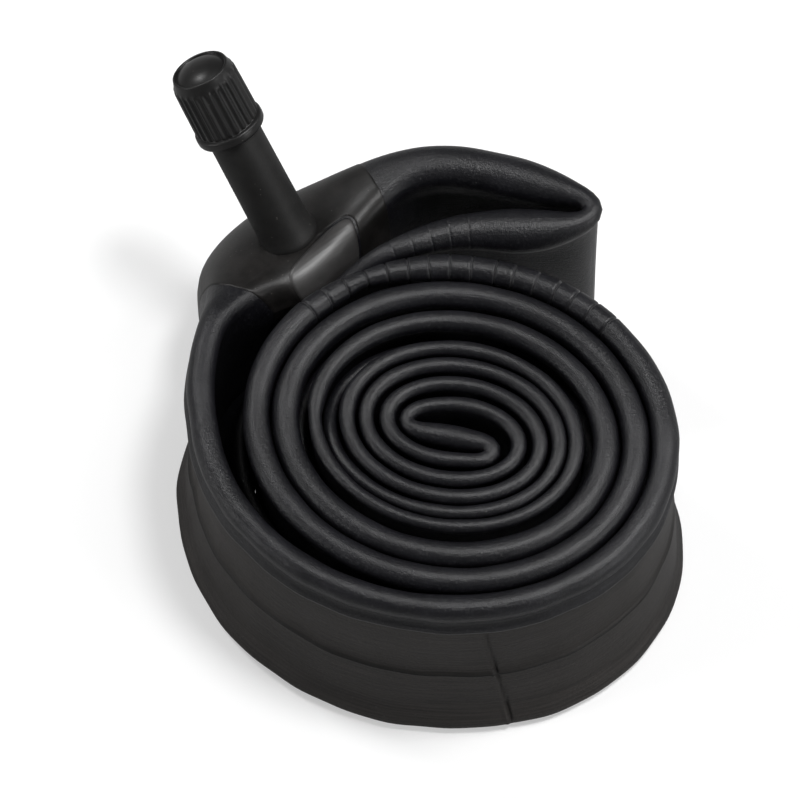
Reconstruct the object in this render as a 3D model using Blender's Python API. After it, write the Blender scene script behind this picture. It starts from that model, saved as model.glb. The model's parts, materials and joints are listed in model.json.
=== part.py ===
"""A bicycle inner tube, deflated, folded flat and rolled up on edge, with a car-type valve.

The tube is one endless strip that stands on edge. Two strands wind out of an S-shaped
fold at the core as a double spiral. The first strand ends in the outermost turn; the
second one lies lower, between the first one's turns. Behind the roll they meet in a
loop that holds some air and carries the valve. The valve is a stack of turned pieces
on one leaning axis: rubber jacket, brass stem, screwed-in valve core and dust cap.

Lengths are in millimetres; a mesh is scaled to metres when it is made.
"""

import math
from collections import namedtuple

import bmesh
import bpy
import numpy as np
from mathutils import Vector

MM = 0.001
GAP = 0.3                    # clearance between neighbouring pieces
FINE_GAP = 0.15              # clearance inside the valve core, whose pieces are tiny

# The flattened strip
STRIP_HEIGHT = 34.0          # width of the flattened tube, which is the roll's height
WEB = 0.8                    # half the flat strip's thickness: one rubber wall
CORE_EDGE = 1.15             # half-width of the folded edge where the turns lie tight
OUTER_EDGE = 1.95            # half-width of the folded edge where the turns have room
SUNK_EDGE = 1.0              # half-width of the second strand's edge between the turns
SUNK_DEPTH = 5.4             # how far that edge lies below the first strand's
DEEP_DEPTH = 5.0             # and how much deeper still it lies in its last turn
DEEP_FOOT = 4.2              # how far the last turn's foot follows the outermost one's
FOOT_EDGE = 1.0              # half-width of the lower folded edge inside the roll
OUTER_FOOT_EDGE = 1.9        # and on the outermost turn
OUTER_FOOT_SHIFT = 3.4       # how far the outermost turn's foot flares out
TURN_GAP = 0.2               # least clearance between neighbouring turns
NECK = 1.4                   # height of the taper from an edge to the web, by half-widths
OVAL_FULLNESS = 0.8          # below 1, an inflated section is fuller than an ellipse
FLAT_SHARE = 0.5             # width of the flat underside, as a share of the lower edge

# The double spiral, counted in quarter turns from the core
CORE_RADIUS = 7.65
QUARTER_PITCH = 1.05
TIGHT_QUARTERS = 9.0         # up to here the pitch is wider, with both strands level
TIGHT_SLOPE = 0.0375
STRETCH = 1.85               # half the difference between the long and the short axis
TILT = math.radians(-15.0)
CORE_SHIFT = 0.45            # how far back the innermost turn's centre lies
OUTER_SHIFT = 1.4            # and the outer turns' centre
SHIFT_QUARTERS = 18.0
STEPS_PER_QUARTER = 4
LONGEST_STEP = 7.0           # between two sections of the strip
NEIGHBOURHOOD = 6.0          # stretches this near along the strip count as the same turn
FIRST_START = 0.8            # both strands leave the core's fold here
FIRST_END = 21.8
SECOND_END = 19.8
FIRST_BULGE = 3.5            # the outermost turn stands off the roll at its left side
SECOND_BULGE = 0.6

# The valve's axis, and the places along it
VALVE_BASE = Vector((-24.1, 34.7, 28.8))    # on the patch, in the jacket's foot
VALVE_LEAN = Vector((-0.384, 0.4, 0.834))
JACKET_TOP = 19.6            # top of the rubber jacket, where the bare thread starts
STEM_TOP = 29.0
CAP_FLOOR = 19.9
ROOF = 30.15                 # inside of the cap's roof, round the dome
CAP_TOP = 32.0
STEM_RADIUS = 3.0            # brass inside the jacket
THREAD_RADIUS = 3.83         # 8V1 thread, as a plain cylinder
JACKET_RADIUS = 3.95
JACKET_FOOT = 5.6
CAP_RADIUS = 4.85
CAP_FLUTES = 26
FLUTE_DEPTH = 0.3
STEM_BORE = 1.9
CORE_THREAD_BORE = 2.6       # 5V1 thread, as a plain bore
PATCH_THICKNESS = 1.0
PATCH_REACH = 13.0           # half the length of the patch along the tube

Station = namedtuple(
    "Station", "x y top edge foot_edge foot puff half_width half_height centre slope"
)
# Where a station has no puff, its oval isn't used.
NO_OVAL = (0.0, 2.0, 14.0, 16.0, 0.0)


def ease(low, high, value):
    """0 below low, 1 above high and smooth between them."""
    t = min(1.0, max(0.0, (value - low) / (high - low)))
    return t * t * (3.0 - 2.0 * t)


def mix(a, b, share):
    return a + (b - a) * share


def spiral_point(quarters, second):
    """A point of the first or the second strand, this many quarter turns out."""
    angle = -quarters * math.pi / 2 + (math.pi if second else 0.0)
    tight = max(0.0, TIGHT_QUARTERS - quarters)
    radius = CORE_RADIUS + QUARTER_PITCH * quarters - TIGHT_SLOPE * tight * tight
    if second:
        radius += SECOND_BULGE * ease(SECOND_END - 1.2, SECOND_END + 0.2, quarters)
    else:
        radius += FIRST_BULGE * ease(FIRST_END - 1.1, FIRST_END + 0.3, quarters)
    x = (radius + STRETCH) * math.cos(angle)
    y = (radius - STRETCH) * math.sin(angle)
    shift = mix(CORE_SHIFT, OUTER_SHIFT, min(1.0, quarters / SHIFT_QUARTERS))
    return (
        x * math.cos(TILT) - y * math.sin(TILT),
        x * math.sin(TILT) + y * math.cos(TILT) + shift,
    )


def first_strand(quarters):
    x, y = spiral_point(quarters, False)
    edge = mix(CORE_EDGE, OUTER_EDGE, ease(9.0, 12.5, quarters))
    outermost = ease(19.0, 20.5, quarters)
    foot_edge = mix(FOOT_EDGE, OUTER_FOOT_EDGE, outermost)
    foot = OUTER_FOOT_SHIFT * outermost
    return Station(x, y, STRIP_HEIGHT, edge, foot_edge, foot, *NO_OVAL)


def second_strand(quarters):
    x, y = spiral_point(quarters, True)
    sunk = ease(6.8, 9.2, quarters)
    deep = ease(18.2, 19.6, quarters)
    edge = mix(CORE_EDGE, SUNK_EDGE, sunk)
    top = STRIP_HEIGHT - SUNK_DEPTH * sunk - DEEP_DEPTH * deep
    return Station(x, y, top, edge, FOOT_EDGE, -DEEP_FOOT * deep, *NO_OVAL)


def folded(x, y, edge, drop=0.0, foot=0.0):
    """A flat station off the spiral, with its edge this far below the strip's height."""
    return Station(x, y, STRIP_HEIGHT - drop, edge, FOOT_EDGE, foot, *NO_OVAL)


def core_fold():
    """The S-shaped fold at the centre, from the first strand to the second one."""
    return [
        folded(3.3, -4.1, 1.15), folded(4.9, -3.8, 1.1), folded(5.9, -2.6, 1.0),
        folded(5.0, -1.3, 1.3), folded(3.0, -0.8, 2.0), folded(0.0, 0.0, 2.3),
        folded(-2.8, 0.5, 1.9), folded(-4.7, 0.7, 1.3), folded(-6.2, 1.3, 1.0),
        folded(-6.9, 2.5, 1.0), folded(-6.0, 3.8, 1.05), folded(-4.0, 4.6, 1.15),
    ]


def puffed(x, y, edge, foot_edge, foot, puff, half_width, half_height, centre, slope):
    """A station that holds air: puff goes from 0, folded flat, to 1, an open oval."""
    return Station(x, y, STRIP_HEIGHT, edge, foot_edge, foot, puff, half_width,
                   half_height, centre, slope)


def back_loop():
    """The loop behind the roll: out along it, round the sharp fold and past the valve."""
    return [
        folded(-30.6, 6.2, 1.0, 10.8, -DEEP_FOOT), folded(-29.0, 11.9, 1.0, 11.5, -3.4),
        folded(-26.2, 17.2, 1.0, 11.5, -1.6), folded(-22.0, 21.6, 1.0, 9.5, -0.4),
        folded(-17.2, 25.5, 1.05, 5.0), folded(-12.0, 28.5, 1.4, 1.6),
        folded(-7.0, 30.7, 1.9, 0.2), folded(-1.0, 32.9, 2.3), folded(4.5, 33.8, 2.9),
        folded(9.8, 33.9, 3.3), folded(14.2, 33.9, 2.9), folded(17.6, 34.2, 1.8),
        folded(19.6, 35.0, 1.25), folded(20.5, 36.6, 1.15), folded(19.4, 38.1, 1.3),
        puffed(17.6, 39.1, 1.8, 1.2, 0.0, 0.0, 2.5, 15.5, 17.4, 0.0),
        puffed(14.6, 40.5, 2.8, 1.3, 0.0, 0.1, 3.0, 15.4, 17.4, 0.0),
        puffed(10.0, 42.3, 3.6, 1.4, 0.0, 0.2, 3.6, 15.3, 17.6, 0.0),
        puffed(4.5, 43.8, 4.1, 1.5, 0.0, 0.3, 4.3, 15.2, 17.8, 0.05),
        puffed(-1.2, 44.7, 4.2, 1.6, 0.0, 0.4, 5.0, 14.8, 17.8, 0.1),
        puffed(-7.0, 44.2, 4.1, 1.7, 0.0, 0.6, 6.0, 14.2, 17.5, 0.2),
        puffed(-12.8, 41.8, 3.6, 1.7, 0.0, 0.85, 7.6, 13.5, 17.2, 0.35),
        puffed(-18.4, 38.2, 3.2, 1.8, 0.0, 1.0, 9.0, 12.7, 16.8, 0.45),
        puffed(-24.4, 34.1, 3.0, 1.8, 0.0, 1.0, 9.9, 12.3, 16.6, 0.5),
        puffed(-29.8, 29.2, 2.8, 1.8, 0.0, 0.95, 8.6, 12.8, 16.8, 0.45),
        puffed(-32.6, 22.8, 2.6, 1.9, 1.0, 0.85, 5.0, 14.6, 17.4, 0.3),
        puffed(-35.0, 16.6, 2.4, 1.9, 2.2, 0.4, 3.3, 15.6, 17.4, 0.1),
        puffed(-36.0, 8.6, 2.0, 1.9, 3.2, 0.08, 3.0, 15.6, 17.0, 0.0),
    ]


def strip_path():
    """The endless strip's stations, in order."""
    step = 1.0 / STEPS_PER_QUARTER
    first = [
        first_strand(index * step)
        for index in range(round(FIRST_END / step), round(FIRST_START / step) - 1, -1)
    ]
    second = [
        second_strand(index * step)
        for index in range(round(FIRST_START / step), round(SECOND_END / step) + 1)
    ]
    return first + core_fold() + second + back_loop()


def curve_between(p0, p1, p2, p3, t):
    """A station between p1 and p2 on a Catmull-Rom curve."""
    return Station(*(
        0.5 * (2 * b + (c - a) * t + (2 * a - 5 * b + 4 * c - d) * t * t
               + (3 * b - a - 3 * c + d) * t * t * t)
        for a, b, c, d in zip(p0, p1, p2, p3)
    ))


def smoothed(stations, longest):
    """The closed row of stations, with more of them wherever two are far apart."""
    count = len(stations)
    result = []
    for index, here in enumerate(stations):
        before = stations[index - 1]
        after = stations[(index + 1) % count]
        beyond = stations[(index + 2) % count]
        pieces = max(1, math.ceil(math.dist(here[:2], after[:2]) / longest))
        for piece in range(pieces):
            result.append(curve_between(before, here, after, beyond, piece / pieces))
    return result


def distances(stations):
    """Plan distance from each station to each stretch of the strip that isn't next to it."""
    points = np.array([station[:2] for station in stations])
    steps = np.roll(points, -1, axis=0) - points
    lengths = np.linalg.norm(steps, axis=1)
    travel = np.concatenate([[0.0], np.cumsum(lengths)])
    away = points[:, None] - points[None]
    share = np.clip((away * steps).sum(axis=2) / lengths ** 2, 0.0, 1.0)
    result = np.linalg.norm(away - share[..., None] * steps, axis=2)
    starts = np.abs(travel[:-1, None] - travel[None, :-1])
    ends = np.abs(travel[:-1, None] - travel[None, 1:])
    apart = np.minimum(starts, ends)
    apart = np.minimum(apart, travel[-1] - np.maximum(starts, ends))
    result[apart < NEIGHBOURHOOD] = np.inf
    return result


def fitted(stations):
    """The stations with no folded edge wider than the room between the turns."""
    result = []
    for here, row in zip(stations, distances(stations)):
        edge = here.edge
        foot = here.foot_edge
        for index in np.flatnonzero(row < 2.0 * OUTER_EDGE + TURN_GAP):
            other = stations[index]
            room = row[index] - TURN_GAP
            if abs(other.top - here.top) < here.edge + other.edge:
                edge = min(edge, room / 2.0)
            elif other.top > here.top:
                edge = min(edge, room - WEB)
            foot = min(foot, (room + here.foot) / 2.0)
        result.append(here._replace(edge=max(edge, WEB), foot_edge=max(foot, WEB)))
    return result


def strip_stations():
    return fitted(smoothed(strip_path(), LONGEST_STEP))


def side_profile(station):
    """Half-widths and heights down one side, from beside the crown to the underside."""
    edge = station.edge
    foot = station.foot_edge
    axis = station.top - edge
    flat = [
        (edge * math.cos(math.radians(42)), axis + edge * math.sin(math.radians(42))),
        (edge, axis),
        (WEB, axis - NECK * edge),
        (WEB, foot * (1 + NECK)),
        (foot, foot),
        (foot * FLAT_SHARE, 0.0),
    ]
    oval = []
    for degrees in (52, 22, -4, -30, -58, -82):
        across = math.cos(math.radians(degrees)) ** OVAL_FULLNESS
        up = abs(math.sin(math.radians(degrees))) ** OVAL_FULLNESS
        oval.append((station.half_width * across,
                     station.half_height * math.copysign(up, degrees)))
    return flat, oval


def section(station):
    """The closed outline of the strip here: (outward offset, height) pairs."""
    flat, oval = side_profile(station)
    flat_loop = [(0.0, station.top)] + flat + [(-w, z) for w, z in reversed(flat)]
    oval_loop = [(0.0, station.half_height)] + oval + [(-w, z) for w, z in reversed(oval)]
    outline = []
    for (flat_w, flat_z), (oval_w, oval_z) in zip(flat_loop, oval_loop):
        flat_w += station.foot * max(0.0, 1.0 - flat_z / (station.top * 0.8))
        upper = max(0.0, oval_z / station.half_height)
        oval_z += station.centre - station.slope * oval_w * upper
        puff = max(0.0, station.puff)
        outline.append((mix(flat_w, oval_w, puff), mix(flat_z, oval_z, puff)))
    return outline


def outward(stations, index):
    """Unit vector to the right of the path, which is out of the roll at the valve."""
    before = stations[index - 1]
    after = stations[(index + 1) % len(stations)]
    length = math.dist(before[:2], after[:2])
    return (after.y - before.y) / length, (before.x - after.x) / length


def section_points(stations, index):
    station = stations[index]
    nx, ny = outward(stations, index)
    return [(station.x + w * nx, station.y + w * ny, z) for w, z in section(station)]


# The mesh makers


def material(name, color, roughness, metallic=0.0):
    result = bpy.data.materials.new(name)
    result.use_nodes = True
    shader = result.node_tree.nodes["Principled BSDF"]
    shader.inputs["Base Color"].default_value = (*color, 1.0)
    shader.inputs["Roughness"].default_value = roughness
    shader.inputs["Metallic"].default_value = metallic
    return result


def finish(bm, name, look, parent=None):
    """Turn a bmesh in millimetres into a named object in metres."""
    bmesh.ops.scale(bm, vec=(MM, MM, MM), verts=bm.verts)
    bmesh.ops.recalc_face_normals(bm, faces=bm.faces)
    mesh = bpy.data.meshes.new(name)
    bm.to_mesh(mesh)
    bm.free()
    mesh.shade_smooth()
    mesh.set_sharp_from_angle(angle=math.radians(35))
    mesh.materials.append(look)
    piece = bpy.data.objects.new(name, mesh)
    piece.parent = parent
    bpy.context.scene.collection.objects.link(piece)
    return piece


def bridge(bm, ring, following):
    """Quads between two closed rings with the same number of vertices."""
    count = len(ring)
    for index in range(count):
        after = (index + 1) % count
        bm.faces.new((ring[index], ring[after], following[after], following[index]))


def strip_object(name, look):
    """The endless strip: sections along the path, bridged into one closed loop."""
    stations = strip_stations()
    bm = bmesh.new()
    rings = [
        [bm.verts.new(point) for point in section_points(stations, index)]
        for index in range(len(stations))
    ]
    for index, ring in enumerate(rings):
        bridge(bm, rings[index - 1], ring)
    return finish(bm, name, look)


def turned(name, outline, look, parent, steps=28, flutes=0):
    """A piece turned about its parent's Z axis from a closed outline of (radius, height).

    The outline runs up the outside and down the inside. A third value in a point is the
    depth of the flutes there.
    """
    bm = bmesh.new()
    steps = 2 * flutes if flutes else steps
    rings = []
    for radius, height, *depth in outline:
        if radius == 0.0:
            rings.append([bm.verts.new((0.0, 0.0, height))] * steps)
            continue
        ring = []
        for step in range(steps):
            angle = 2 * math.pi * step / steps
            r = radius - (depth[0] if depth and step % 2 else 0.0)
            ring.append(bm.verts.new((r * math.cos(angle), r * math.sin(angle), height)))
        rings.append(ring)
    for lower, upper in zip(rings, rings[1:] + rings[:1]):
        for step in range(steps):
            after = (step + 1) % steps
            corners = [lower[step], lower[after], upper[after], upper[step]]
            corners = list(dict.fromkeys(corners))
            if len(corners) > 2:
                bm.faces.new(corners)
    return finish(bm, name, look, parent)


def valve_patch(look):
    """The cured patch round the valve: a plate that follows the tube's upper face."""
    stations = strip_stations()
    near = [
        index for index, station in enumerate(stations)
        if station.puff > 0.9
        and math.dist((station.x, station.y), VALVE_BASE[:2]) < PATCH_REACH
    ]
    face = (12, 0, 1, 2)                         # the section's points across the top
    bm = bmesh.new()
    sheets = []
    for offset in (GAP, GAP + PATCH_THICKNESS):
        rows = []
        for index in near:
            outline = section(stations[index])
            nx, ny = outward(stations, index)
            row = []
            for place in face:
                w, z = outline[place]
                before = outline[place - 1]
                after = outline[(place + 1) % len(outline)]
                along = Vector((after[0] - before[0], after[1] - before[1])).normalized()
                w -= along.y * offset
                z += along.x * offset
                station = stations[index]
                row.append(bm.verts.new((station.x + w * nx, station.y + w * ny, z)))
            rows.append(row)
        sheets.append(rows)
    lower, upper = sheets
    for sheet in sheets:
        for row, following in zip(sheet, sheet[1:]):
            for place in range(len(face) - 1):
                bm.faces.new((row[place], row[place + 1],
                              following[place + 1], following[place]))
    for end in (0, -1):
        for place in range(len(face) - 1):
            bm.faces.new((lower[end][place], lower[end][place + 1],
                          upper[end][place + 1], upper[end][place]))
    for side in (0, -1):
        for index in range(len(near) - 1):
            bm.faces.new((lower[index][side], lower[index + 1][side],
                          upper[index + 1][side], upper[index][side]))
    return finish(bm, "valve_patch", look)


def cut(piece, cutter):
    """Take the cutter's shape out of the piece, and keep the cutter as a guide only."""
    cutter.hide_render = True
    cutter.display_type = "WIRE"
    boolean = piece.modifiers.new("cut", "BOOLEAN")
    boolean.operation = "DIFFERENCE"
    boolean.solver = "EXACT"
    boolean.object = cutter


def block(name, low, high, look, parent):
    bm = bmesh.new()
    bmesh.ops.create_cube(bm, size=1.0)
    size = [b - a for a, b in zip(low, high)]
    middle = Vector([(a + b) / 2 for a, b in zip(low, high)])
    bmesh.ops.scale(bm, vec=size, verts=bm.verts)
    bmesh.ops.translate(bm, vec=middle, verts=bm.verts)
    return finish(bm, name, look, parent)


def coil(name, radius, wire, bottom, top, turns, look, parent):
    """A helical spring of round wire, with capped ends."""
    sides = 5
    steps = round(turns * 10)
    bm = bmesh.new()
    rings = []
    for step in range(steps + 1):
        angle = 2 * math.pi * turns * step / steps
        height = mix(bottom + wire, top - wire, step / steps)
        ring = []
        for side in range(sides):
            turn = 2 * math.pi * side / sides
            r = radius + wire * math.cos(turn)
            ring.append(bm.verts.new((r * math.cos(angle), r * math.sin(angle),
                                      height + wire * math.sin(turn))))
        rings.append(ring)
    for ring, following in zip(rings, rings[1:]):
        bridge(bm, ring, following)
    bm.faces.new(rings[0])
    bm.faces.new(rings[-1])
    return finish(bm, name, look, parent)


def empty(name, parent=None):
    result = bpy.data.objects.new(name, None)
    result.parent = parent
    bpy.context.scene.collection.objects.link(result)
    return result


def valve_stem(axis, rubber, brass):
    turned("stem_sleeve", [
        (JACKET_FOOT, 0.9), (4.8, 1.9), (4.2, 3.4), (JACKET_RADIUS + 0.05, 6.0),
        (JACKET_RADIUS, JACKET_TOP - 0.7), (JACKET_RADIUS - 0.25, JACKET_TOP),
        (STEM_RADIUS + GAP, JACKET_TOP), (STEM_RADIUS + GAP, 0.9),
    ], rubber, axis)
    turned("stem_brass", [
        (STEM_RADIUS, 1.2), (STEM_RADIUS, JACKET_TOP + GAP),
        (THREAD_RADIUS, JACKET_TOP + GAP), (THREAD_RADIUS, STEM_TOP - 0.5),
        (THREAD_RADIUS - 0.45, STEM_TOP), (CORE_THREAD_BORE + 0.15, STEM_TOP),
        (CORE_THREAD_BORE, STEM_TOP - 0.6), (CORE_THREAD_BORE, 21.0),
        (STEM_BORE, 19.0), (STEM_BORE, 1.2),
    ], brass, axis)


def valve_core(axis, brass, steel, rubber):
    """The screwed-in core: a threaded plug, a barrel under it and the pin with its seal."""
    screw_axis = empty("core_axis", axis)
    plug = turned("core_plug", [
        (CORE_THREAD_BORE - GAP, 23.5), (CORE_THREAD_BORE - GAP, 26.8), (1.65, 27.1),
        (1.65, 28.6), (1.0, 28.6), (1.0, 23.5),
    ], brass, screw_axis)
    for name, side in (("plug_flat_front", -1), ("plug_flat_back", 1)):
        inner, outer = sorted((0.75 * side, 3.0 * side))
        flat = block(name, (-3.0, inner, 27.1), (3.0, outer, 29.2), brass, screw_axis)
        cut(plug, flat)
    turned("core_barrel", [
        (1.65, 10.9), (1.65, 18.2), (1.45, 18.4), (1.45, 22.6), (2.2, 22.6), (2.2, 23.2),
        (0.8, 23.2), (0.8, 18.0), (1.25, 17.8), (1.25, 11.6), (0.8, 11.6), (0.8, 10.9),
    ], brass, screw_axis, steps=20)
    turned("barrel_gasket", [
        (1.7, 19.2), (2.3, 21.3), (2.15, 21.8), (1.45 + FINE_GAP, 21.8),
        (1.45 + FINE_GAP, 19.2),
    ], rubber, screw_axis, steps=20)

    pin_axis = empty("pin_axis", axis)
    turned("core_pin", [
        (0.0, 8.6), (0.75, 8.6), (0.75, 8.95), (0.5, 8.95), (0.5, 28.1), (0.75, 28.2),
        (0.75, 28.7), (0.0, 28.7),
    ], steel, pin_axis, steps=14)
    turned("pin_stop", [
        (1.08, 17.0), (1.08, 17.6), (0.65, 17.6), (0.65, 17.0),
    ], brass, pin_axis, steps=16)
    turned("pin_cup", [
        (1.5, 9.1), (1.5, 10.4), (1.35, 10.4), (1.35, 9.6), (0.65, 9.6), (0.65, 9.1),
    ], brass, pin_axis, steps=20)
    turned("cup_seal", [
        (1.2, 9.75), (1.2, 10.7), (0.65, 10.7), (0.65, 9.75),
    ], rubber, pin_axis, steps=20)
    coil("core_spring", 0.97, 0.11, 11.7, 16.9, 6, steel, screw_axis)


def dust_cap(axis, plastic, rubber):
    cap_axis = empty("cap_axis", axis)
    turned("cap_shell", [
        (4.95, CAP_FLOOR), (5.15, CAP_FLOOR + 0.2), (5.15, CAP_FLOOR + 1.3),
        (CAP_RADIUS, CAP_FLOOR + 1.6), (CAP_RADIUS, CAP_FLOOR + 1.8, FLUTE_DEPTH),
        (CAP_RADIUS - 0.05, CAP_TOP - 2.6, FLUTE_DEPTH), (CAP_RADIUS - 0.1, CAP_TOP - 2.3),
        (4.35, CAP_TOP - 1.4), (4.15, CAP_TOP - 1.0), (3.85, CAP_TOP - 1.0),
        (3.7, CAP_TOP - 1.2), (3.3, CAP_TOP - 0.8), (2.3, CAP_TOP - 0.3),
        (0.0, CAP_TOP),
        (0.0, CAP_TOP - 1.1), (2.6, CAP_TOP - 1.5), (3.2, ROOF),
        (THREAD_RADIUS + GAP, ROOF), (THREAD_RADIUS + GAP, CAP_FLOOR),
    ], plastic, cap_axis, flutes=CAP_FLUTES)
    turned("cap_seal", [
        (3.95, STEM_TOP + 0.2), (3.95, ROOF - GAP), (2.75, ROOF - GAP),
        (2.75, STEM_TOP + 0.2),
    ], rubber, cap_axis, steps=24)


def build():
    for old in list(bpy.data.objects):
        bpy.data.objects.remove(old, do_unlink=True)

    butyl = material("butyl_rubber", (0.022, 0.022, 0.025), 0.5)
    patch_rubber = material("patch_rubber", (0.020, 0.019, 0.019), 0.35)
    valve_rubber = material("valve_rubber", (0.018, 0.018, 0.018), 0.6)
    seal_rubber = material("seal_rubber", (0.16, 0.03, 0.02), 0.5)
    plastic = material("cap_plastic", (0.012, 0.012, 0.012), 0.35)
    brass = material("brass", (0.75, 0.56, 0.26), 0.3, 1.0)
    steel = material("spring_steel", (0.55, 0.55, 0.56), 0.3, 1.0)

    strip_object("tube_body", butyl)
    patch = valve_patch(patch_rubber)

    axis = empty("valve_axis")
    axis.location = VALVE_BASE * MM
    axis.rotation_mode = "QUATERNION"
    axis.rotation_quaternion = VALVE_LEAN.to_track_quat("Z", "Y")
    opening = turned("patch_opening", [
        (0.0, -4.0), (JACKET_FOOT + GAP, -4.0), (JACKET_FOOT + GAP, 6.0), (0.0, 6.0),
    ], valve_rubber, axis)
    cut(patch, opening)
    valve_stem(axis, valve_rubber, brass)
    valve_core(axis, brass, steel, seal_rubber)
    dust_cap(axis, plastic, seal_rubber)


build()
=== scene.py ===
"""Looks for a rolled-up bicycle inner tube with a car-type valve.

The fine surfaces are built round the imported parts: the rubber strip is swept again along
the roll's path with its moulded fins, creases and splice, and the valve's outer pieces
are turned at full detail. Lengths are in millimetres until a mesh is made.
"""

import json
import math

import bmesh
import bpy
import numpy as np
from mathutils import Matrix, Quaternion, Vector


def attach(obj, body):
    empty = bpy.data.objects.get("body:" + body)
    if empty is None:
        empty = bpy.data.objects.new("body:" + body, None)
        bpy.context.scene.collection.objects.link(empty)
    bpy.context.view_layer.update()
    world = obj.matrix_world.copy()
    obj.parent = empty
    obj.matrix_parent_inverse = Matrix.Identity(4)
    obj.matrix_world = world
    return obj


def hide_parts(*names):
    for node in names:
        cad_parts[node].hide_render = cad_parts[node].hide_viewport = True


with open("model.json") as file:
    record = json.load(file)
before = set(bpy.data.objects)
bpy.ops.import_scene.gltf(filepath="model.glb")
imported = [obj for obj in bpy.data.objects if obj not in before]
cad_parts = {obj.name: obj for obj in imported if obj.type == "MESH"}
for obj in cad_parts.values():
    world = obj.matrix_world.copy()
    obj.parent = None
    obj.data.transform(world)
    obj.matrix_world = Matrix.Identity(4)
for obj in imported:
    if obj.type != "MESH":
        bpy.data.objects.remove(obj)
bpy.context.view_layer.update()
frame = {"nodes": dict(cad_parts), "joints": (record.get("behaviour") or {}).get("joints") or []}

MM = 0.001
rng = np.random.default_rng(7)

# ---------------------------------------------------------------- the roll's path

STRIP_HEIGHT = 34.0
WEB = 0.8
CORE_EDGE = 1.15
OUTER_EDGE = 1.95
SUNK_EDGE = 1.0
SUNK_DEPTH = 5.4
DEEP_DEPTH = 5.0
DEEP_FOOT = 4.2
FOOT_EDGE = 1.0
OUTER_FOOT_EDGE = 1.9
OUTER_FOOT_SHIFT = 3.4
TURN_GAP = 0.2
CORE_RADIUS = 7.65
QUARTER_PITCH = 1.05
TIGHT_QUARTERS = 9.0
TIGHT_SLOPE = 0.0375
STRETCH = 1.85
TILT = math.radians(-15.0)
CORE_SHIFT = 0.45
OUTER_SHIFT = 1.4
SHIFT_QUARTERS = 18.0
FIRST_START = 0.8
FIRST_END = 21.8
SECOND_END = 19.8
FIRST_BULGE = 3.5
SECOND_BULGE = 0.6
STEPS_PER_QUARTER = 10
# quarter turns out over which something changes
FOLD_THICKENS = (9.0, 12.5)
STRAND_IS_OUTERMOST = (19.0, 20.5)
STRAND_SINKS = (6.8, 9.2)
STRAND_SINKS_DEEPER = (18.2, 19.6)
NO_OVAL = (0.0, 2.0, 14.0, 16.0, 0.0)
X, Y, TOP, EDGE, FOOT_HALF, FOOT, PUFF, HALF_WIDTH, HALF_HEIGHT, CENTRE, SLOPE, BULGE = range(12)

# the inflated loop's inner shoulder leans over the roll
SHOULDER_BULGE = 2.5
SHOULDER_TRAVEL = 1338.5
SHOULDER_REACH = 7.5
SHOULDER_HEIGHT = 27.5
# the sunk strand's heel spreads at the left: (travel, half-width) and (travel, shift)
HEEL_SPREAD = [(1160.0, 0.8), (1176.0, 2.0), (1188.0, 2.8), (1196.0, 3.0), (1204.0, 3.1), (1212.0, 3.2),
               (1222.0, 4.2), (1230.0, 4.2), (1238.0, 2.4), (1246.0, 0.8)]
HEEL_SHIFT = [(1168.0, -1.0), (1176.0, -1.3), (1188.0, -2.0), (1196.0, -2.3), (1204.0, -2.3),
              (1212.0, -2.0), (1222.0, -3.2), (1230.0, -3.2), (1238.0, -1.5), (1246.0, 0.0)]


def ease(low, high, value):
    t = np.clip((value - low) / (high - low), 0.0, 1.0)
    return t * t * (3.0 - 2.0 * t)


def bell(value, width):
    return np.exp(-(value / width) ** 2)


def mix(a, b, share):
    return a + (b - a) * share


def spiral_point(quarters, second):
    """A point of the first or the second strand, this many quarter turns out."""
    angle = -quarters * math.pi / 2 + (math.pi if second else 0.0)
    tight = max(0.0, TIGHT_QUARTERS - quarters)
    radius = CORE_RADIUS + QUARTER_PITCH * quarters - TIGHT_SLOPE * tight * tight
    if second:
        radius += SECOND_BULGE * ease(SECOND_END - 1.2, SECOND_END + 0.2, quarters)
    else:
        radius += FIRST_BULGE * ease(FIRST_END - 1.1, FIRST_END + 0.3, quarters)
    x = (radius + STRETCH) * math.cos(angle)
    y = (radius - STRETCH) * math.sin(angle)
    shift = mix(CORE_SHIFT, OUTER_SHIFT, min(1.0, quarters / SHIFT_QUARTERS))
    return (
        x * math.cos(TILT) - y * math.sin(TILT),
        x * math.sin(TILT) + y * math.cos(TILT) + shift,
    )


def first_strand(quarters):
    x, y = spiral_point(quarters, False)
    edge = mix(CORE_EDGE, OUTER_EDGE, ease(*FOLD_THICKENS, quarters))
    outermost = ease(*STRAND_IS_OUTERMOST, quarters)
    foot_edge = mix(FOOT_EDGE, OUTER_FOOT_EDGE, outermost)
    return (x, y, STRIP_HEIGHT, edge, foot_edge, OUTER_FOOT_SHIFT * outermost, *NO_OVAL)


def second_strand(quarters):
    x, y = spiral_point(quarters, True)
    sunk = ease(*STRAND_SINKS, quarters)
    deep = ease(*STRAND_SINKS_DEEPER, quarters)
    edge = mix(CORE_EDGE, SUNK_EDGE, sunk)
    top = STRIP_HEIGHT - SUNK_DEPTH * sunk - DEEP_DEPTH * deep
    return (x, y, top, edge, FOOT_EDGE, -DEEP_FOOT * deep, *NO_OVAL)


def folded(x, y, edge, drop=0.0, foot=0.0):
    return (x, y, STRIP_HEIGHT - drop, edge, FOOT_EDGE, foot, *NO_OVAL)


def puffed(x, y, *rest):
    return (x, y, STRIP_HEIGHT, *rest)


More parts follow.
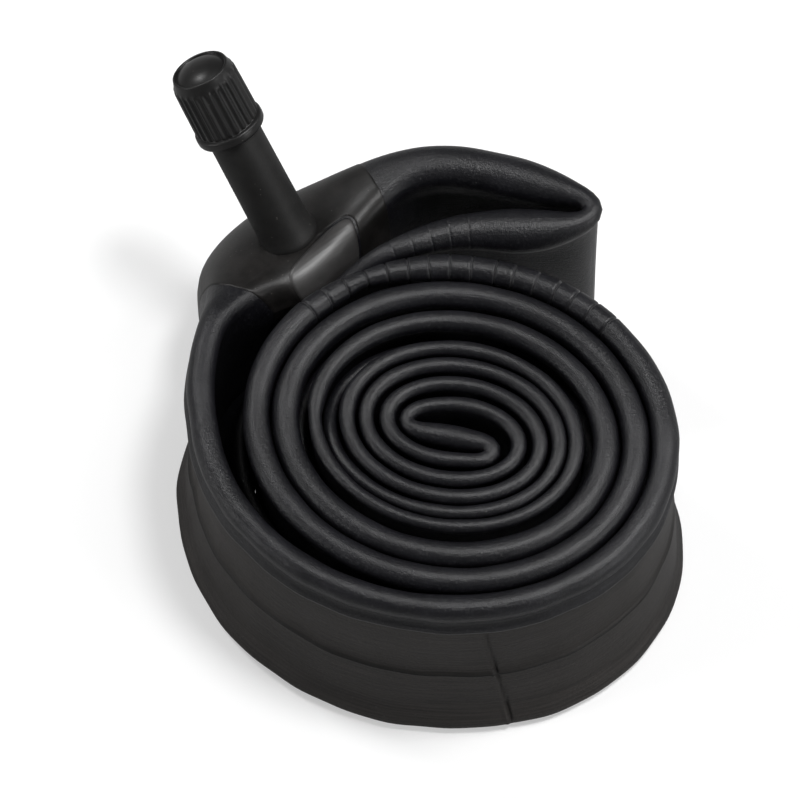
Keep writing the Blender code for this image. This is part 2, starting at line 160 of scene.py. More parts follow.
CORE_FOLD = [
    folded(3.3, -4.1, 1.15), folded(4.9, -3.8, 1.1), folded(5.9, -2.6, 1.0),
    folded(5.0, -1.3, 1.3), folded(3.0, -0.8, 2.0), folded(0.0, 0.0, 2.3),
    folded(-2.8, 0.5, 1.9), folded(-4.7, 0.7, 1.3), folded(-6.2, 1.3, 1.0),
    folded(-6.9, 2.5, 1.0), folded(-6.0, 3.8, 1.05), folded(-4.0, 4.6, 1.15),
]
BACK_LOOP = [
    folded(-30.6, 6.2, 1.0, 10.8, -DEEP_FOOT), folded(-29.0, 11.9, 1.0, 11.5, -3.4),
    folded(-26.2, 17.2, 1.0, 11.5, -1.6), folded(-22.0, 21.6, 1.0, 9.5, -0.4),
    folded(-17.2, 25.5, 1.05, 5.0), folded(-12.0, 28.5, 1.4, 1.6),
    folded(-7.0, 30.7, 1.9, 0.2), folded(-1.0, 32.9, 2.3), folded(4.5, 33.8, 2.9),
    folded(9.8, 33.9, 3.3), folded(14.2, 33.9, 2.9), folded(17.6, 34.2, 1.8),
    folded(19.6, 35.0, 1.25), folded(20.5, 36.6, 1.15), folded(19.4, 38.1, 1.3),
    puffed(17.6, 39.1, 1.8, 1.2, 0.0, 0.0, 2.5, 15.5, 17.4, 0.0),
    puffed(14.6, 40.5, 2.8, 1.3, 0.0, 0.1, 3.0, 15.4, 17.4, 0.0),
    puffed(10.0, 42.3, 3.6, 1.4, 0.0, 0.2, 3.6, 15.3, 17.6, 0.0),
    puffed(4.5, 43.8, 4.1, 1.5, 0.0, 0.3, 4.3, 15.2, 17.8, 0.05),
    puffed(-1.2, 44.7, 4.2, 1.6, 0.0, 0.4, 5.0, 14.8, 17.8, 0.1),
    puffed(-7.0, 44.2, 4.1, 1.7, 0.0, 0.6, 6.0, 14.2, 17.5, 0.2),
    puffed(-12.8, 41.8, 3.6, 1.7, 0.0, 0.85, 7.6, 13.5, 17.2, 0.35),
    puffed(-18.4, 38.2, 3.2, 1.8, 0.0, 1.0, 9.0, 12.7, 16.8, 0.45),
    puffed(-24.4, 34.1, 3.0, 1.8, 0.0, 1.0, 9.9, 12.3, 16.6, 0.5),
    puffed(-29.8, 29.2, 2.8, 1.8, 0.0, 0.95, 8.6, 12.8, 16.8, 0.45),
    puffed(-32.6, 22.8, 2.6, 1.9, 1.0, 0.85, 5.0, 14.6, 17.4, 0.3),
    puffed(-35.0, 16.6, 2.4, 1.9, 2.2, 0.4, 3.3, 15.6, 17.4, 0.1),
    puffed(-36.0, 8.6, 2.0, 1.9, 3.2, 0.08, 3.0, 15.6, 17.0, 0.0),
]


def strip_rows():
    """The endless strip's stations: the first strand inward, the second one outward."""
    step = 1.0 / STEPS_PER_QUARTER
    first = [first_strand(q) for q in np.arange(FIRST_END, FIRST_START - step / 2, -step)]
    second = [second_strand(q) for q in np.arange(FIRST_START, SECOND_END + step / 2, step)]
    return np.array(first + CORE_FOLD + second + BACK_LOOP)


def blurred(values, sigma):
    """A circular Gaussian blur along the first axis, sigma in rows."""
    reach = int(sigma * 3) + 1
    offsets = np.arange(-reach, reach + 1)
    weights = np.exp(-0.5 * (offsets / sigma) ** 2)
    weights /= weights.sum()
    return sum(w * np.roll(values, -o, axis=0) for o, w in zip(offsets, weights))


class Strip:
    """The strip's stations at close spacing, with the distance travelled to each."""

    SPACING = 1.0
    CURVE_STEPS = 12
    PATH_BLUR = 0.9
    TURN_BLUR = 0.8
    EDGE_BLUR = 2.5
    SAME_PLACE = 6.0        # stations nearer than this along the strip don't touch

    def __init__(self):
        rows = strip_rows()
        before, after = np.roll(rows, 1, 0), np.roll(rows, -1, 0)
        beyond = np.roll(rows, -2, 0)
        parts = []
        for t in np.arange(self.CURVE_STEPS) / self.CURVE_STEPS:
            parts.append(0.5 * (
                2 * rows + (after - before) * t
                + (2 * before - 5 * rows + 4 * after - beyond) * t * t
                + (3 * rows - before - 3 * after + beyond) * t ** 3
            ))
        dense = np.stack(parts, 1).reshape(-1, rows.shape[1])
        self.dense = np.vstack([dense, dense[:1]])
        steps = np.hypot(*np.diff(self.dense[:, :2], axis=0).T)
        self.dense_travel = np.concatenate([[0.0], np.cumsum(steps)])
        self.length = self.dense_travel[-1]
        count = round(self.length / self.SPACING)
        self.travel = np.arange(count) * self.length / count
        self.rows = self.sampled(self.travel)
        self.rows[:, :2] = blurred(self.rows[:, :2], self.PATH_BLUR / self.SPACING)
        bulge = SHOULDER_BULGE * bell(self.travel - SHOULDER_TRAVEL, SHOULDER_REACH)
        self.rows = np.hstack([self.rows, bulge[:, None]])
        self.fit_edges()
        ahead = np.roll(self.rows[:, :2], -1, 0) - np.roll(self.rows[:, :2], 1, 0)
        ahead = blurred(ahead / np.linalg.norm(ahead, axis=1, keepdims=True), self.TURN_BLUR)
        self.right = np.stack([ahead[:, 1], -ahead[:, 0]], 1)

    def sampled(self, travel):
        return np.stack(
            [np.interp(travel, self.dense_travel, column) for column in self.dense.T], 1
        )

    def fit_edges(self):
        """No folded edge is wider than the room between the turns."""
        rows = self.rows
        plan = rows[:, :2]
        apart = np.abs(self.travel[:, None] - self.travel[None])
        apart = np.minimum(apart, self.length - apart)
        room = np.hypot(plan[:, None, 0] - plan[None, :, 0],
                        plan[:, None, 1] - plan[None, :, 1]) - TURN_GAP
        room[apart < self.SAME_PLACE] = np.inf
        level = np.abs(rows[:, None, TOP] - rows[None, :, TOP]) < (
            rows[:, None, EDGE] + rows[None, :, EDGE])
        higher = rows[None, :, TOP] > rows[:, None, TOP]
        limit = np.where(level, room / 2, np.where(higher, room - WEB, np.inf)).min(1)
        edge = blurred(np.maximum(np.minimum(rows[:, EDGE], limit), WEB), self.EDGE_BLUR)
        foot_room = (room.min(1) + rows[:, FOOT]) / 2
        foot = blurred(np.maximum(np.minimum(rows[:, FOOT_HALF], foot_room), WEB), self.EDGE_BLUR)
        rows[:, EDGE] = np.maximum(np.minimum(edge, np.maximum(limit, WEB)), WEB)
        rows[:, FOOT_HALF] = np.maximum(foot, WEB)
        spread = np.interp(self.travel, *zip(*HEEL_SPREAD))
        rows[:, FOOT_HALF] = np.maximum(rows[:, FOOT_HALF], spread)
        inside = (self.travel > HEEL_SHIFT[0][0]) & (self.travel < HEEL_SHIFT[-1][0])
        rows[inside, FOOT] = np.interp(self.travel[inside], *zip(*HEEL_SHIFT))

    def nearest(self, x, y):
        """Travel of the station nearest to a point in plan."""
        return self.travel[np.hypot(self.rows[:, X] - x, self.rows[:, Y] - y).argmin()]

    def between(self, travel, values):
        """Values kept per station, at any travel values."""
        turns = np.concatenate([self.travel, [self.length]])
        values = np.vstack([values, values[:1]])
        return np.stack([np.interp(travel % self.length, turns, c) for c in values.T], 1)

    def at(self, travel):
        """Stations at any travel values."""
        return self.between(travel, self.rows)

    def right_at(self, travel):
        """Unit vectors to the right of the path."""
        side = self.between(travel, self.right)
        side /= np.linalg.norm(side, axis=1, keepdims=True)
        return side[:, 0], side[:, 1]


strip = Strip()

# ---------------------------------------------------------------- the strip's section

BEAD_ANGLES = (90, 76, 62, 48, 34, 20, 6, -8, -22, -36)
NECK = 1.75                  # the taper's end, in half-widths under the edge's centre
WEB_SHARES = (0.1, 0.22, 0.34, 0.46, 0.54, 0.575, 0.592, 0.604, 0.61, 0.616, 0.628,
              0.645, 0.68, 0.76, 0.88)
NECK_SHARES = (0.12, 0.24, 0.36, 0.48, 0.6, 0.72, 0.86, 1.0)
FOOT_ANGLES = (-36, -18, 0, 20, 42, 64)
LOW_ANGLE = math.radians(-36)           # where a bead or a heel runs into its neck
NECK_POWER = 0.8
OVAL_ACROSS, OVAL_UP = 0.68, 0.72       # exponents of the inflated outline


def half_profile(rows):
    """Half-widths and heights from the crown to the underside's middle, per station."""
    edge, foot = rows[:, EDGE], rows[:, FOOT_HALF]
    axis = rows[:, TOP] - edge
    widths, heights = [], []

    def add(w, z):
        widths.append(np.broadcast_to(w, edge.shape))
        heights.append(z)

    for degrees in BEAD_ANGLES:
        a = math.radians(degrees)
        add(edge * math.cos(a), axis + edge * math.sin(a))
    low_w, low_z = edge * math.cos(LOW_ANGLE), axis + edge * math.sin(LOW_ANGLE)
    neck_z = axis - NECK * edge
    for share in NECK_SHARES:
        add(mix(low_w, np.minimum(WEB, low_w), ease(0.0, 1.0, share) ** NECK_POWER),
            mix(low_z, neck_z, share))
    heel_z = foot * (1 + NECK)
    for share in WEB_SHARES:
        add(WEB, mix(neck_z, heel_z, share))
    high_w, high_z = foot * math.cos(LOW_ANGLE), foot * (1 - math.sin(LOW_ANGLE))
    for share in (1.0, 0.67, 0.33):
        add(mix(high_w, np.minimum(WEB, high_w), ease(0.0, 1.0, share) ** NECK_POWER),
            mix(high_z, heel_z, share))
    for degrees in FOOT_ANGLES:
        a = math.radians(degrees)
        add(foot * math.cos(a), foot * (1 - math.sin(a)))
    add(0.0, np.zeros_like(edge))
    return np.stack(widths, 1), np.stack(heights, 1)


def oval_profile(rows, shares):
    """The inflated outline at the same shares of the way round."""
    angle = math.pi / 2 - math.pi * shares
    across = np.abs(np.cos(angle)) ** OVAL_ACROSS * rows[:, HALF_WIDTH, None]
    up = np.sign(np.sin(angle)) * np.abs(np.sin(angle)) ** OVAL_UP
    return across, up * rows[:, HALF_HEIGHT, None]


def outline(rows):
    """The closed outline per station: right side down, then left side up."""
    w, z = half_profile(rows)
    steps = np.hypot(np.diff(w, axis=1), np.diff(z, axis=1))
    shares = np.concatenate([np.zeros((len(w), 1)), np.cumsum(steps, 1)], 1)
    shares /= shares[:, -1:]
    oval_w, oval_z = oval_profile(rows, shares)
    puff = rows[:, PUFF, None]
    foot, top = rows[:, FOOT, None], rows[:, TOP, None]
    sides = []
    for side in (1.0, -1.0):
        flat_w = side * w + foot * np.maximum(0.0, 1.0 - z / (top * 0.8))
        puff_w = side * oval_w
        lean = rows[:, SLOPE, None] * puff_w * np.maximum(0.0, oval_z / rows[:, HALF_HEIGHT, None])
        puff_z = oval_z + rows[:, CENTRE, None] - lean
        if side < 0:
            puff_w = puff_w - rows[:, BULGE, None] * bell(puff_z - SHOULDER_HEIGHT, 4.0)
        sides.append((mix(flat_w, puff_w, puff), mix(z, puff_z, puff)))
    (rw, rz), (lw, lz) = sides
    width = np.concatenate([rw, lw[:, -2:0:-1]], 1)
    height = np.concatenate([rz, lz[:, -2:0:-1]], 1)
    around = np.concatenate([shares, -shares[:, -2:0:-1]], 1)
    return width, height, around


# ---------------------------------------------------------------- mesh helpers


def grid_object(name, points, closed_u, closed_v, layers=None):
    """A quad grid from points[u, v] in millimetres, with named float layers per point."""
    count_u, count_v = points.shape[:2]
    index = np.arange(count_u * count_v).reshape(count_u, count_v)
    rows = np.vstack([index, index[:1]]) if closed_u else index
    cols = np.hstack([rows, rows[:, :1]]) if closed_v else rows
    quads = np.stack([cols[:-1, :-1], cols[1:, :-1], cols[1:, 1:], cols[:-1, 1:]], -1)
    mesh = bpy.data.meshes.new(name)
    mesh.from_pydata((points.reshape(-1, 3) * MM).tolist(), [], quads.reshape(-1, 4).tolist())
    mesh.validate()
    for layer, values in (layers or {}).items():
        attribute = mesh.attributes.new(layer, "FLOAT", "POINT")
        attribute.data.foreach_set("value", values.astype(np.float32).ravel())
    return mesh_object(name, mesh)


def mesh_object(name, mesh):
    bm = bmesh.new()
    bm.from_mesh(mesh)
    bmesh.ops.remove_doubles(bm, verts=bm.verts, dist=1e-7)
    bmesh.ops.recalc_face_normals(bm, faces=bm.faces)
    bm.to_mesh(mesh)
    bm.free()
    mesh.shade_smooth()
    result = bpy.data.objects.new(name, mesh)
    bpy.context.scene.collection.objects.link(result)
    return result


# ---------------------------------------------------------------- the tube

# places in plan, as (x, y)
FIRST_FIN, LAST_FIN = (23.9, 18.6), (-21.9, 19.4)
LONE_FINS = ((-14.6, 17.6), (2.0, -16.2))
FIRST_FAINT_FIN = (-8.5, 30.0)
FAINT_FINS = 5
FAINT_PITCH = 2.9
SPLICE = (4.4, -26.0)
SPLICE_SLANT = -0.13
FIN_PITCH = 3.15
FIN_WIDTH = 0.12
FIN_HEIGHT = 0.34
LONE_HEIGHT = 0.22
LONE_WIDTH = 0.14
FAINT_HEIGHT = 0.06
FAINT_WIDTH = 0.16
CREASE_HEIGHT = 14.4                 # of the groove round the outer wall, darkened there with painted shade
UNDERCUT_HEIGHT = 29.6               # of the groove under the outer bead
UNDERCUT_DEPTH = 1.7
SWELL_HEIGHT = 28.1                  # of the swelling below that groove
HALF_GIRTH = 36.0                    # half the way round the strip's section
# stations are added this far from each moulded mark, so that it has its own vertices
MARK_OFFSETS = (-0.5, -0.26, -0.14, -0.07, 0.0, 0.07, 0.14, 0.26, 0.5)
# the flattened walls' waves: (height, length along, phase, turn per millimetre up)
WALL_WAVES = ((0.07, 23.0, 0.4, 0.09), (0.05, 11.3, 2.1, -0.15), (0.035, 6.7, 4.0, 0.22))


def fin_places():
    start = strip.nearest(*FIRST_FIN)
    end = strip.nearest(*LAST_FIN)
    places = np.arange(start, end + 1.0, FIN_PITCH)
    return places + rng.uniform(-0.25, 0.25, len(places))


def build_tube():
    fins = fin_places()
    lone = np.array([strip.nearest(*place) for place in LONE_FINS])
    faint = strip.nearest(*FIRST_FAINT_FIN) + np.arange(FAINT_FINS) * FAINT_PITCH
    splice = strip.nearest(*SPLICE)
    marks = np.concatenate([fins, lone, faint, [splice]])
    extra = (marks[:, None] + np.array(MARK_OFFSETS)).ravel()
    extra = np.concatenate([extra, splice + np.linspace(-2.6, 3.6, 63)])
    travel = np.unique(np.round(np.concatenate([strip.travel, extra]), 3))
    travel = travel[np.concatenate([[True], np.diff(travel) > 0.05])]
    rows = strip.at(travel)
    width, height, around = outline(rows)
    right_x, right_y = strip.right_at(travel)

    # normals in the section's plane
    tw = np.roll(width, -1, 1) - np.roll(width, 1, 1)
    tz = np.roll(height, -1, 1) - np.roll(height, 1, 1)
    size = np.hypot(tw, tz) + 1e-9
    nw, nz = tz / size, -tw / size

    s = travel[:, None]
    outer_turn = np.maximum(0.0, rows[:, FOOT] / OUTER_FOOT_SHIFT)[:, None] * (1 - rows[:, PUFF, None])
    right = (around > 0).astype(float)
    drop = rows[:, TOP, None] - height
    bead = 1 - ease(0.9, 1.5, drop / (2 * rows[:, EDGE, None]))
    relief = np.zeros_like(width)
    for place in fins:
        relief += FIN_HEIGHT * bell(s - place, FIN_WIDTH) * bead * rng.uniform(0.75, 1.1)
    for place in lone:
        relief += LONE_HEIGHT * bell(s - place, LONE_WIDTH) * bead
    for place in faint:
        relief += FAINT_HEIGHT * bell(s - place, FAINT_WIDTH) * bead
    # the flattened wall's own waviness
    wave = sum(
        a * np.sin(s / length * 2 * math.pi + phase + height * k)
        for a, length, phase, k in WALL_WAVES
    )
    relief += wave * (0.45 + 0.55 * outer_turn * right)
    # the outer wall: undercut, creased groove and splice
    wall = outer_turn * right
    relief -= UNDERCUT_DEPTH * wall * bell(height - UNDERCUT_HEIGHT, 0.62)
    relief += 0.75 * wall * bell(height - SWELL_HEIGHT, 1.0)
    relief -= 0.42 * wall * bell(height - CREASE_HEIGHT, 0.32)
    relief += 0.22 * wall * bell(height - CREASE_HEIGHT - 3.2, 2.6)
    slant = (height - 24.0) * SPLICE_SLANT
    beside = s - splice - slant
    low = right * ease(0.6, 2.0, height) * (1 - ease(25.0, 28.5, height))
    relief += (0.42 * bell(beside, 0.24) - 0.16 * bell(beside + 0.55, 0.3)) * low
    width = width + nw * relief
    height = np.maximum(height + nz * relief, 0.0)
    points = np.stack([
        rows[:, X, None] + width * right_x[:, None],
        rows[:, Y, None] + width * right_y[:, None],
        height,
    ], -1)
    # painted highlight: mask of the moulded fins, lightened in the tube's colour
    fin_highlight_share = sum(bell(s - place, 0.13) for place in fins)
    fin_highlight_share += 0.7 * sum(bell(s - place, 0.13) for place in lone)
    layers = {
        "along": np.broadcast_to(s, width.shape),
        "around": around * HALF_GIRTH,
        "wall": wall * (1 - ease(27.5, 29.5, height)),
        "fin_highlight": np.clip(fin_highlight_share, 0, 1) * bead,
        # painted shade: mask of the groove round the outer wall, darkened in the tube's colour
        "crease_shade": wall * bell(height - CREASE_HEIGHT, 0.42),
        "puff": np.broadcast_to(rows[:, PUFF, None], width.shape),
    }
    return grid_object("tube", points, True, True, layers)


tube = build_tube()

# ---------------------------------------------------------------- the valve's pieces

CAP_JOINT = next(j for j in frame["joints"] if j["name"] == "cap_turn")
VALVE_BASE = Vector(CAP_JOINT["pos_m"]) / MM
VALVE_AXIS = Vector(CAP_JOINT["axis"])
VALVE_TURN = VALVE_AXIS.to_track_quat("Z", "Y").to_matrix().to_4x4()
VALVE_MATRIX = Matrix.Translation(VALVE_BASE) @ VALVE_TURN


def turned(name, outline_points, steps, ribs=0, rib_share=0.24):
    """A piece turned about the valve's axis from (radius, height, rib, scallop) points.

    A rib stands out by its third value, and between ribs the point sinks by its fourth.
    """
    rings = np.zeros((len(outline_points), 4))
    for row, point in zip(rings, outline_points):
        row[:len(point)] = point
    theta = np.arange(steps) * 2 * math.pi / steps
    if ribs:
        phase = (theta * ribs / (2 * math.pi)) % 1.0 - 0.5
        rib = np.exp(-(np.abs(phase) / rib_share) ** 3.2)
    else:
        rib = np.zeros_like(theta)
    radius = rings[:, 0, None] + rings[:, 2, None] * rib[None]
    height = rings[:, 1, None] - rings[:, 3, None] * (1 - rib[None])
    points = np.stack([radius * np.cos(theta), radius * np.sin(theta),
                       np.broadcast_to(height, radius.shape)], -1)
    return placed(name, points)


def placed(name, points):
    """A closed grid in the valve's own frame, moved to its place."""
    matrix = np.array(VALVE_MATRIX)
    world = points @ matrix[:3, :3].T + matrix[:3, 3]
    return grid_object(name, world, True, True)


CAP_RIBS = 26
STEPS_PER_RIB = 14
CAP_OUTLINE = [
    (4.5, 19.9), (4.95, 19.92), (5.1, 20.0), (5.17, 20.15), (5.18, 20.45), (5.18, 20.9),
    (5.15, 21.15), (5.04, 21.32), (4.9, 21.4), (4.72, 21.46), (4.62, 21.56, 0.06),
    (4.6, 21.72, 0.24), (4.6, 22.0, 0.3), (4.58, 23.5, 0.3), (4.56, 25.2, 0.3),
    (4.53, 27.2, 0.3), (4.5, 28.5, 0.3), (4.5, 28.95, 0.29), (4.52, 29.25, 0.26, 0.14),
    (4.56, 29.5, 0.19, 0.24), (4.6, 29.68, 0.1, 0.24), (4.6, 29.82, 0.02, 0.16),
    (4.56, 29.95, 0.0, 0.06), (4.48, 30.12), (4.38, 30.4), (4.27, 30.75), (4.22, 30.95),
    (4.17, 31.08), (4.08, 31.16), (3.97, 31.16), (3.88, 31.08), (3.82, 30.93),
    (3.78, 30.82), (3.7, 30.8), (3.6, 30.86), (3.42, 31.02), (3.1, 31.25), (2.7, 31.48),
    (2.2, 31.69), (1.6, 31.86), (0.9, 31.97), (0.0, 32.0),
    (0.0, 30.9), (2.6, 30.5), (3.2, 30.15), (4.05, 30.15), (4.13, 30.05), (4.13, 20.1),
    (4.2, 19.95),
]
SLEEVE_OUTLINE = [
    (4.7, -1.6), (4.5, 0.0), (4.3, 0.7), (4.17, 1.4), (4.1, 2.3), (4.06, 4.2),
    (4.03, 6.5), (4.0, 9.0), (3.98, 12.0), (3.95, 15.5), (3.94, 18.8), (3.9, 19.2),
    (3.8, 19.45), (3.62, 19.58), (3.4, 19.6), (3.3, 19.5), (3.3, 0.9), (3.6, -1.2),
]
THREAD_PITCH = 0.79375
THREAD_DEPTH = 0.42
CORE_BORE = [
    (2.75, 29.0), (2.6, 28.4), (2.6, 21.0), (1.9, 19.0), (1.9, 1.2), (3.0, 1.2),
    (3.0, 19.8), (3.35, 19.9),
]


def build_stem():
    """The brass stem, with the valve's outside thread cut as a real helix."""
    steps = 96
    theta = np.arange(steps) * 2 * math.pi / steps
    rows = []
    for z in np.arange(19.95, 28.9, THREAD_PITCH / 12):
        wave = np.cos(2 * math.pi * (z / THREAD_PITCH) - theta)
        depth = THREAD_DEPTH * (0.5 - 0.5 * wave) ** 0.8
        fade = ease(19.95, 20.8, z) * (1 - ease(28.2, 28.85, z))
        radius = mix(3.42, 3.82 - depth, fade)
        rows.append(np.stack([radius * np.cos(theta), radius * np.sin(theta),
                              np.full(steps, z)], -1))
    for radius, z in CORE_BORE:
        rows.append(np.stack([radius * np.cos(theta), radius * np.sin(theta),
                              np.full(steps, z)], -1))
    return placed("stem_thread", np.array(rows))


def surface(travel, around, lift):
    """Points on the strip's skin at travel[u], around[v], lifted by lift[u, v]."""
    rows = strip.at(travel)
    width, height, place = outline(rows)
    right_x, right_y = strip.right_at(travel)
    points = np.zeros((len(travel), len(around), 3))
    for u in range(len(travel)):
        order = np.argsort(place[u])
        w = np.interp(around, place[u][order], width[u][order])
        z = np.interp(around, place[u][order], height[u][order])
        tw, tz = np.gradient(w), np.gradient(z)
        size = np.hypot(tw, tz)
        w = w - tz / size * lift[u]
        z = z + tw / size * lift[u]
        points[u, :, 0] = rows[u, X] + w * right_x[u]
        points[u, :, 1] = rows[u, Y] + w * right_y[u]
        points[u, :, 2] = z
    return points


def slab(name, travel, around, lift, depth):
    """A closed sheet on the strip's skin: its lower face lies depth under the skin."""
    upper = surface(travel, around, lift)
    lower = surface(travel, around, np.full_like(lift, -depth))
    loop = np.concatenate([upper, lower[:, ::-1]], 1)
    result = grid_object(name, loop, False, True)
    bm = bmesh.new()
    bm.from_mesh(result.data)
    bmesh.ops.holes_fill(bm, edges=[e for e in bm.edges if e.is_boundary], sides=0)
    bmesh.ops.triangulate(bm, faces=[f for f in bm.faces if len(f.verts) > 4])
    bmesh.ops.recalc_face_normals(bm, faces=bm.faces)
    bm.to_mesh(result.data)
    bm.free()
    result.data.shade_smooth()
    return result


VALVE_TRAVEL = strip.nearest(VALVE_BASE.x, VALVE_BASE.y)


def edge_lift(u, v, low_u, high_u, low_v, high_v, band):
    """1 inside the rectangle, 0 at its edges, rounded over the band."""
    inside = np.minimum(
        np.minimum(u - low_u, high_u - u)[:, None] / band,
        np.minimum(v - low_v, high_v - v)[None] * HALF_GIRTH / band,
    )
    return np.sqrt(1 - (1 - np.clip(inside, 0, 1)) ** 2)


def pad_reach(ahead, around):
    """Below 1 inside the pad's rounded outline, 1 on it."""
    u = np.abs((ahead[:, None] + 1.0 + (around[None] + 0.10) * 6.0) / 7.1)
    v = np.abs((around[None] + 0.262 + ahead[:, None] * 0.0045) / 0.165)
    return (u ** 5 + v ** 5) ** 0.2


# reach along the strip in millimetres, and round it as a share of half its girth
PATCH_AHEAD, PATCH_AROUND = (-14.4, 13.6), (-0.60, 0.60)
PAD_AHEAD, PAD_AROUND = (-9.0, 8.5), (-0.45, -0.08)


def build_patch():
    ahead = np.linspace(*PATCH_AHEAD, 170)
    around = np.linspace(*PATCH_AROUND, 150)
    shape = edge_lift(ahead, around, ahead[0], ahead[-1], around[0], around[-1], 0.5)
    lift = -0.25 + 0.38 * shape
    reach = pad_reach(ahead, around)
    lift -= 0.3 * bell(reach - 1.045, 0.022) * ease(2.0, -5.0, ahead)[:, None]
    return slab("patch", VALVE_TRAVEL + ahead, around, lift, 0.5)


def build_pad():
    ahead = np.linspace(*PAD_AHEAD, 130)
    around = np.linspace(*PAD_AROUND, 90)
    reach = pad_reach(ahead, around)
    lift = -0.1 + 0.42 * np.sqrt(1 - np.clip((reach - 0.90) / 0.12, 0, 1) ** 2)
    lift += 0.5 * np.clip(1 - reach ** 2, 0, 1)
    return slab("pad", VALVE_TRAVEL + ahead, around, lift, 0.4)


patch = build_patch()
pad = build_pad()
cap = turned("cap", CAP_OUTLINE, CAP_RIBS * STEPS_PER_RIB, ribs=CAP_RIBS)
sleeve = turned("sleeve", SLEEVE_OUTLINE, 96)
stem = build_stem()

# ---------------------------------------------------------------- materials


def add(tree, kind, inputs=None, **settings):
    node = tree.nodes.new("ShaderNode" + kind)
    for key, value in settings.items():
        setattr(node, key, value)
    for key, value in (inputs or {}).items():
        socket = node.inputs[key]
        if isinstance(value, bpy.types.NodeSocket):
            tree.links.new(value, socket)
        else:
            socket.default_value = value
    return node


def calc(tree, operation, a, b=0.0, clamp=False):
    return add(tree, "Math", {0: a, 1: b}, operation=operation, use_clamp=clamp).outputs[0]


def stretch(tree, value, low, high, to_low=0.0, to_high=1.0):
    """Smooth remapping of a value."""
    return add(tree, "MapRange", {"Value": value, "From Min": low, "From Max": high,
                                  "To Min": to_low, "To Max": to_high},
               interpolation_type="SMOOTHSTEP").outputs[0]


def noise(tree, vector, scale, detail=3.0, roughness=0.55):
    return add(tree, "TexNoise", {"Vector": vector, "Scale": scale, "Detail": detail,
                                  "Roughness": roughness}).outputs["Fac"]


def tint(tree, share, a, b):
    """A colour mixed from a to b."""
    node = add(tree, "Mix", {0: share}, data_type="RGBA")
    for socket, value in ((node.inputs[6], a), (node.inputs[7], b)):
        if isinstance(value, bpy.types.NodeSocket):
            tree.links.new(value, socket)
        else:
            socket.default_value = (*value, 1.0)
    return node.outputs[2]


def layer(tree, name):
    return add(tree, "Attribute", attribute_name=name).outputs["Fac"]


def new_material(name):
    result = bpy.data.materials.new(name)
    result.use_nodes = True
    tree = result.node_tree
    shader = tree.nodes["Principled BSDF"]
    place = add(tree, "TexCoord").outputs["Object"]
    millimetres = add(tree, "VectorMath", {0: place, "Scale": 1000.0}, operation="SCALE").outputs[0]
    return result, tree, shader, millimetres


def specks(tree, place, scale, size, share):
    """Small round dust grains: 1 on a grain, 0 elsewhere."""
    cell = add(tree, "TexVoronoi", {"Vector": place, "Scale": scale})
    near = stretch(tree, cell.outputs["Distance"], size, size * 0.4)
    chosen = add(tree, "SeparateColor", {0: cell.outputs["Color"]}).outputs[0]
    return calc(tree, "MULTIPLY", near, stretch(tree, chosen, share, share - 0.02))


def bump(tree, height, strength, distance, normal=None):
    inputs = {"Height": height, "Strength": strength, "Distance": distance * MM}
    if normal is not None:
        inputs["Normal"] = normal
    return add(tree, "Bump", inputs).outputs[0]


def tube_material():
    result, tree, shader, place = new_material("tube_rubber")
    wall, fin_highlight, crease_shade = layer(tree, "wall"), layer(tree, "fin_highlight"), layer(tree, "crease_shade")
    along, around = layer(tree, "along"), layer(tree, "around")
    lane = add(tree, "CombineXYZ", {0: calc(tree, "MULTIPLY", along, 0.045),
                                    1: calc(tree, "MULTIPLY", around, 1.9)}).outputs[0]
    streak = noise(tree, lane, 1.6, 6.0, 0.7)
    cloud = noise(tree, place, 0.16, 4.0, 0.6)
    grain = noise(tree, place, 2.2, 4.0, 0.7)
    bead = tint(tree, stretch(tree, cloud, 0.35, 0.7),
                (0.0038, 0.0038, 0.0052), (0.0075, 0.0074, 0.0096))
    bead = tint(tree, stretch(tree, grain, 0.52, 0.7, 0.0, 0.6), bead, (0.024, 0.024, 0.027))
    side = tint(tree, stretch(tree, streak, 0.36, 0.64),
                (0.013, 0.0115, 0.0106), (0.031, 0.0272, 0.0250))
    base = tint(tree, wall, bead, side)
    # painted shade: the groove round the outer wall is darkened almost to black
    base = tint(tree, calc(tree, "MULTIPLY", crease_shade, 0.85), base, (0.004, 0.004, 0.004))
    # painted highlight: the fins' colour is made much lighter, standing in for the light they catch
    base = tint(tree, calc(tree, "MULTIPLY", fin_highlight, 0.5), base, (0.075, 0.075, 0.078))
    dust = specks(tree, place, 0.9, 0.16, 0.16)
    base = tint(tree, calc(tree, "MULTIPLY", dust, 0.22), base, (0.12, 0.12, 0.12))
    tree.links.new(base, shader.inputs["Base Color"])
    rough = calc(tree, "ADD", 0.24, calc(tree, "MULTIPLY", grain, 0.22))
    rough = calc(tree, "ADD", rough, calc(tree, "MULTIPLY", wall, 0.20))
    tree.links.new(rough, shader.inputs["Roughness"])
    tree.links.new(stretch(tree, wall, 0.0, 1.0, 0.42, 0.36), shader.inputs["Specular IOR Level"])
    normal = bump(tree, grain, 0.8, 0.12)
    normal = bump(tree, streak, 0.35, 0.12, normal)
    tree.links.new(normal, shader.inputs["Normal"])
    return result


def plain_rubber(name, dark, light, rough, grain_scale, grain_depth, shine=0.5):
    result, tree, shader, place = new_material(name)
    cloud = noise(tree, place, 0.35, 4.0, 0.6)
    grain = noise(tree, place, grain_scale, 3.0, 0.6)
    base = tint(tree, stretch(tree, cloud, 0.35, 0.7), dark, light)
    dust = specks(tree, place, 1.3, 0.17, 0.12)
    base = tint(tree, calc(tree, "MULTIPLY", dust, 0.3), base, (0.16, 0.15, 0.14))
    tree.links.new(base, shader.inputs["Base Color"])
    uneven = calc(tree, "ADD", rough, calc(tree, "MULTIPLY", grain, 0.14))
    tree.links.new(uneven, shader.inputs["Roughness"])
    tree.links.new(bump(tree, grain, 0.3, grain_depth), shader.inputs["Normal"])
    shader.inputs["Specular IOR Level"].default_value = shine
    return result


